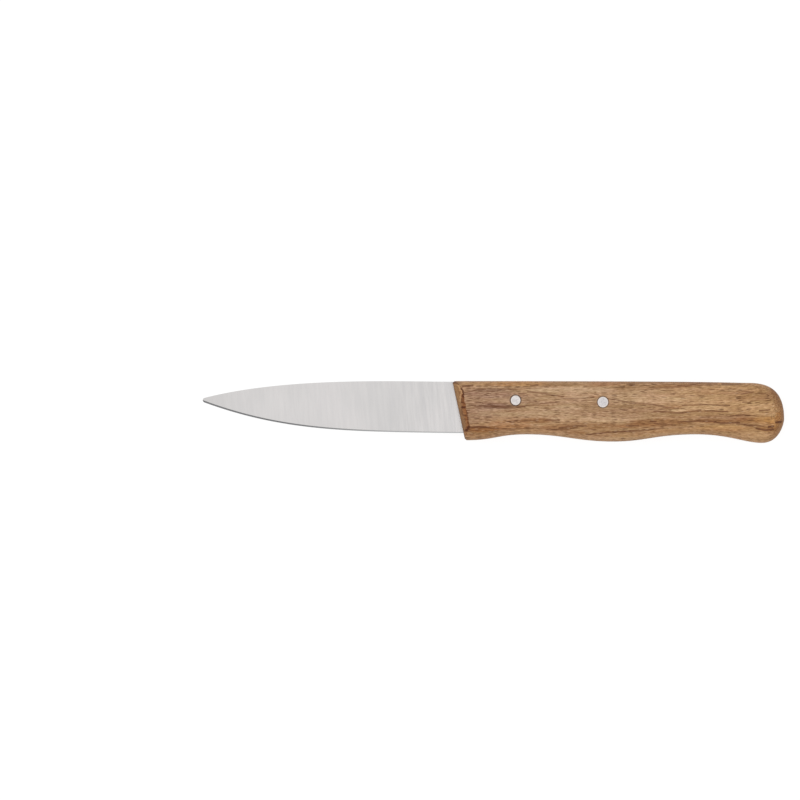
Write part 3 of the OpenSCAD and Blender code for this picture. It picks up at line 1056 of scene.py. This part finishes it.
TEAR_REACH = (1.5, 0.9, 0)
BAR_SIZE = (2.5, 0.5, 1)
SPLINTER_SIZE = (0.5, 0.35, 0.5)
SPLINTER_TONES = ((0.8, 0.77, 0.74, 1), (1.2, 1.22, 1.24, 1))
OUTER_HIGH = srgb(146, 110, 75)
OUTER_LOW = srgb(133, 98, 68)
INNER_DARK = srgb(112, 67, 37)
INNER_LIGHT = srgb(150, 101, 62)
CREST_LIGHT = srgb(190, 150, 108)
TEAR_BROWN = srgb(80, 40, 18)
# Painted shade along the front, where the blade meets the handle
FRONT_GAP_SHADE = srgb(92, 66, 50)


def bevel_tone(shader, place_mm, colour, group):
    """The colour with the bevel's dark end grain and ragged inner edge, and its tears' depth."""
    _, y, _ = shader.split(place_mm)
    depth = shader.times(y, -1)
    border = shader.curve(depth, BEVEL_BORDER, FRONT_HEIGHT)
    front = shader.times(depth, FRONT_RAKE / FRONT_HEIGHT)
    tear = shader.sway(place_mm, TEAR_SIZE, TEAR_REACH, 3.0, 0.6)
    torn = shader.vector("ADD", shader.scaled(place_mm, FLAT), tear)
    torn_x, _, _ = shader.split(torn)
    inside = shader.step(shader.minus(border, torn_x), -0.12, 0.14)
    across = shader.number("DIVIDE", shader.minus(torn_x, front), shader.minus(border, front))
    across = shader.step(across, 0.3, 0.75)
    bars = shader.noise(place_mm, BAR_SIZE, 3.0)
    splinters = shader.noise(place_mm, SPLINTER_SIZE)
    outer = shader.blend(shader.step(depth, 4, 14), OUTER_HIGH, OUTER_LOW)
    inner = shader.blend(shader.step(bars, 0.34, 0.62), INNER_DARK, INNER_LIGHT)
    bevel = shader.blend(shader.times(across, shader.step(depth, 1.5, 5)), outer, inner)
    bevel = shader.toned(bevel, splinters, (0.25, 0.75), SPLINTER_TONES)
    colour = shader.blend(inside, colour, bevel)
    colour = shader.blend(soft_lines(shader, torn, group, BEVEL_CREST), colour, CREST_LIGHT)
    tears = soft_lines(shader, torn, group, BEVEL_TEARS)
    tears = shader.times(tears, shader.number("MINIMUM", shader.plus(bars, 0.6), 1.0))
    colour = shader.blend(tears, colour, TEAR_BROWN)
    # Painted shade along the front, in the gap between blade and handle
    rim = shader.step(shader.minus(torn_x, front), 0.5, 0.05)
    colour = shader.blend(shader.times(rim, 0.55), colour, FRONT_GAP_SHADE)
    return colour, shader.times(tears, 0.7)


# Painted shade in a ring round each rivet: how far out it ends, its strength, and how far out it is
# full
RING_SHADES = {"front_rivet": (0.55, 0.95), "rear_rivet": (0.42, 0.75)}
RING_SHADE_START = 0.08
RING_SHADE_BROWN = srgb(88, 68, 57)


def rivet_ring_shade(shader, place_mm, colour, fibres):
    """Painted shade in a dark ring round each rivet, where its head meets the wood."""
    for name, (x, y, head) in RIVETS.items():
        width, depth = RING_SHADES[name]
        reach = from_axis(shader, place_mm, x, y)
        ring = shader.step(reach, head + width, head + RING_SHADE_START)
        strength = shader.times(ring, shader.step(fibres, 0.1, 0.5))
        colour = shader.blend(shader.times(strength, depth), colour, RING_SHADE_BROWN)
    return colour


# Steel, whose stripes and lines lean by this share of their height
STRIPE_SLANT = 0.08
LINE_SIZE = (0.32, 5, 16)
STRIPE_SIZE = (1.3, 14, 40)
CLOUD_SIZE = (16, 26, 26)
LINE_TONES = (grey(0.96), (1.042, 1.04, 1.04, 1))
STEEL_DARK = srgb(207, 205, 204)
STEEL_LIGHT = srgb(216, 213, 212)
STRIPE_DARK = srgb(204, 202, 203)
STRIPE_LIGHT = srgb(223, 220, 219)
TIP_STEEL = srgb(200, 198, 197)
MARK_SIZE = (1.5, 0.08, 0.08)
MARK_TONES = (grey(0.85), grey(1.12))
# Painted shade of the honed bevel, darkest towards the tip
HONED_SHADE_AT_TIP = srgb(124, 124, 125)
HONED_SHADE_AT_HEEL = srgb(182, 182, 182)
SCRATCH_SIZE = (2.2, 0.07, 0.07)
DENT_SIZE = (0.55, 0.55, 0.55)
RIVET_DARK = srgb(203, 199, 198)
RIVET_LIGHT = srgb(224, 220, 218)
# Painted highlight on the heads' rims, then each rivet's own tone
RIVET_RIM_HIGHLIGHT = srgb(232, 224, 218)
RIVET_TONES = {"front_rivet": (1.05, 1.04, 1.04, 1), "rear_rivet": (0.94, 0.94, 0.96, 1)}


def make_blade_steel():
    """Satin steel with fine lines ground across the blade, which show most near the handle."""
    material, shader = new_material("cross_ground_steel")
    place_mm = place_in_mm(shader)
    x, y, z = shader.split(place_mm)
    slanted = shader.join(shader.plus(x, shader.times(y, STRIPE_SLANT)), y, z)
    lines = shader.noise(slanted, LINE_SIZE, 3.0)
    stripes = shader.noise(slanted, STRIPE_SIZE, 3.0)
    clouds = shader.noise(place_mm, CLOUD_SIZE)
    colour = shader.blend(shader.step(clouds, 0.3, 0.7), STEEL_DARK, STEEL_LIGHT)
    heel = shader.step(x, -26, -8)
    reach = shader.plus(shader.times(heel, 0.16), 0.2)
    striped = shader.blend(shader.step(stripes, 0.3, 0.7), STRIPE_DARK, STRIPE_LIGHT)
    colour = shader.blend(reach, colour, striped)
    tip = shader.step(x, -68, -82)
    colour = shader.blend(shader.times(tip, 0.4), colour, TIP_STEEL)
    fine = shader.blend(shader.step(lines, 0.25, 0.75), *LINE_TONES)
    strength = shader.plus(shader.times(heel, 0.55), 0.3)
    colour = shader.blend(strength, colour, fine, "MULTIPLY")
    rough = shader.plus(shader.times(stripes, 0.08), 0.17)
    shader.finish(colour, rough, lines, 0.08, 0.04, Metallic=1.0)
    return material


def make_edge_steel():
    """The honed bevel: darkened by painted shade, most towards the tip, with finer marks that run
    along it.
    """
    material, shader = new_material("shaded_honed_steel")
    place_mm = place_in_mm(shader)
    marks = shader.noise(place_mm, MARK_SIZE)
    x, _, _ = shader.split(place_mm)
    # Painted shade, darker towards the tip
    base = shader.blend(shader.step(x, -55, -8), HONED_SHADE_AT_TIP, HONED_SHADE_AT_HEEL)
    colour = shader.blend(1.0, base, shader.blend(marks, *MARK_TONES), "MULTIPLY")
    shader.finish(colour, 0.24, marks, 0.06, 0.03, Metallic=1.0)
    return material


def make_rivet_metal():
    """Soft bright metal that was peened and then sanded with the handle."""
    material, shader = new_material("sanded_rivet_metal")
    place_mm = place_in_mm(shader)
    scratches = shader.noise(place_mm, SCRATCH_SIZE, 3.0)
    dents = shader.noise(place_mm, DENT_SIZE)
    colour = shader.blend(shader.step(dents, 0.3, 0.7), RIVET_DARK, RIVET_LIGHT)
    rough = shader.plus(shader.times(scratches, 0.2), 0.28)
    height = shader.plus(shader.times(scratches, 0.4), dents)
    for name, (x, y, head) in RIVETS.items():
        reach = from_axis(shader, place_mm, x, y)
        near = shader.step(reach, head * 1.5, head * 1.3)
        colour = shader.blend(near, colour, RIVET_TONES[name], "MULTIPLY")
        # Painted highlight on the rim of each head
        rim = shader.times(shader.step(reach, head * 0.66, head * 0.86), near)
        colour = shader.blend(shader.times(rim, 0.7), colour, RIVET_RIM_HIGHLIGHT)
    shader.finish(colour, rough, height, 0.25, 0.04, Metallic=1.0)
    return material


# Stage

# The photograph: its size, the pixel of the handle's upper front corner, and pixels per millimetre
PHOTO_SIZE = 800
PHOTO_CORNER = (452.3, 381.1)
PHOTO_SCALE = 3.0
LENS = 300
SENSOR = 36
FLOOR_SIZE = 8
FLOOR_DROP = 0.02
FLOOR_COLOUR = 0.8
FLOOR_GLOW = 0.87
FLOOR_SHADE = 0.2
SKY_LEVEL = 0.82
SUN_LEVEL = 0.23
SUN_ANGLE = 50
SUN_TILT = (-8, -30)


def make_camera():
    """Square above the knife, at the photograph's framing: the corner's pixel gives the place."""
    width = PHOTO_SIZE / PHOTO_SCALE
    aim_x = (PHOTO_SIZE / 2 - PHOTO_CORNER[0]) / PHOTO_SCALE
    aim_y = (PHOTO_CORNER[1] - PHOTO_SIZE / 2) / PHOTO_SCALE
    data = bpy.data.cameras.new("camera")
    data.lens = LENS
    data.sensor_width = SENSOR
    camera = add_object("camera", data)
    camera.location = place(aim_x, aim_y, MIDDLE + width * LENS / SENSOR)
    bpy.context.scene.camera = camera


def seen_directly(shader):
    """1 for what the camera sees, also in metal or through glass, and 0 for diffuse light."""
    path = shader.tree.nodes.new("ShaderNodeLightPath").outputs
    return shader.strongest(path["Is Camera Ray"], path["Is Glossy Ray"],
                            path["Is Transmission Ray"])


def make_floor():
    """A pale floor that looks white and keeps a faint shadow."""
    half = FLOOR_SIZE / 2
    mesh = bpy.data.meshes.new("floor")
    corners = [(-half, -half, 0), (half, -half, 0), (half, half, 0), (-half, half, 0)]
    mesh.from_pydata(corners, [], [(0, 1, 2, 3)])
    floor = add_object("floor", mesh)
    floor.location.z = -FLOOR_DROP * MM
    material, shader = new_material("pale_floor")
    seen = seen_directly(shader)
    plain = shader.add("ShaderNodeBsdfDiffuse", {"Color": grey(FLOOR_COLOUR)})
    shadowed = shader.add("ShaderNodeBsdfDiffuse", {"Color": grey(FLOOR_SHADE)})
    glow = shader.add("ShaderNodeEmission", {"Color": grey(1), "Strength": FLOOR_GLOW})
    white = shader.add("ShaderNodeAddShader", {0: shadowed, 1: glow})
    surface = shader.add("ShaderNodeMixShader", {0: seen, 1: plain, 2: white})
    shader.add("ShaderNodeOutputMaterial", {"Surface": surface}, None)
    mesh.materials.append(material)


def make_light():
    """An even white surround, and one large soft lamp from above the back."""
    world = bpy.data.worlds.new("studio")
    bpy.context.scene.world = world
    world.use_nodes = True
    shader = Shader(world.node_tree)
    seen = seen_directly(shader)
    level = shader.add("ShaderNodeMapRange", {"Value": seen, "To Min": SKY_LEVEL, "To Max": 1.0})
    sky = shader.add("ShaderNodeBackground", {"Color": grey(1), "Strength": level})
    shader.add("ShaderNodeOutputWorld", {"Surface": sky}, None)
    lamp = bpy.data.lights.new("soft_lamp", "SUN")
    lamp.energy = math.pi * SUN_LEVEL
    lamp.angle = math.radians(SUN_ANGLE)
    sun = add_object("soft_lamp", lamp)
    sun.visible_glossy = False
    sun.rotation_euler = [math.radians(a) for a in (*SUN_TILT, 0)]


def dress(piece, node):
    """Puts a piece in place of its CAD node: it joins the root body, and the node is hidden."""
    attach(piece, "root")
    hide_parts(node)


bpy.context.scene.view_settings.view_transform = "Standard"
make_camera()
make_light()
make_floor()
dress(make_handle(make_wood()), "handle")
dress(make_blade(make_blade_steel(), make_edge_steel()), "blade")
rivet_metal = make_rivet_metal()
for rivet_node in RIVETS:
    dress(make_rivet(rivet_node, rivet_metal), rivet_node)
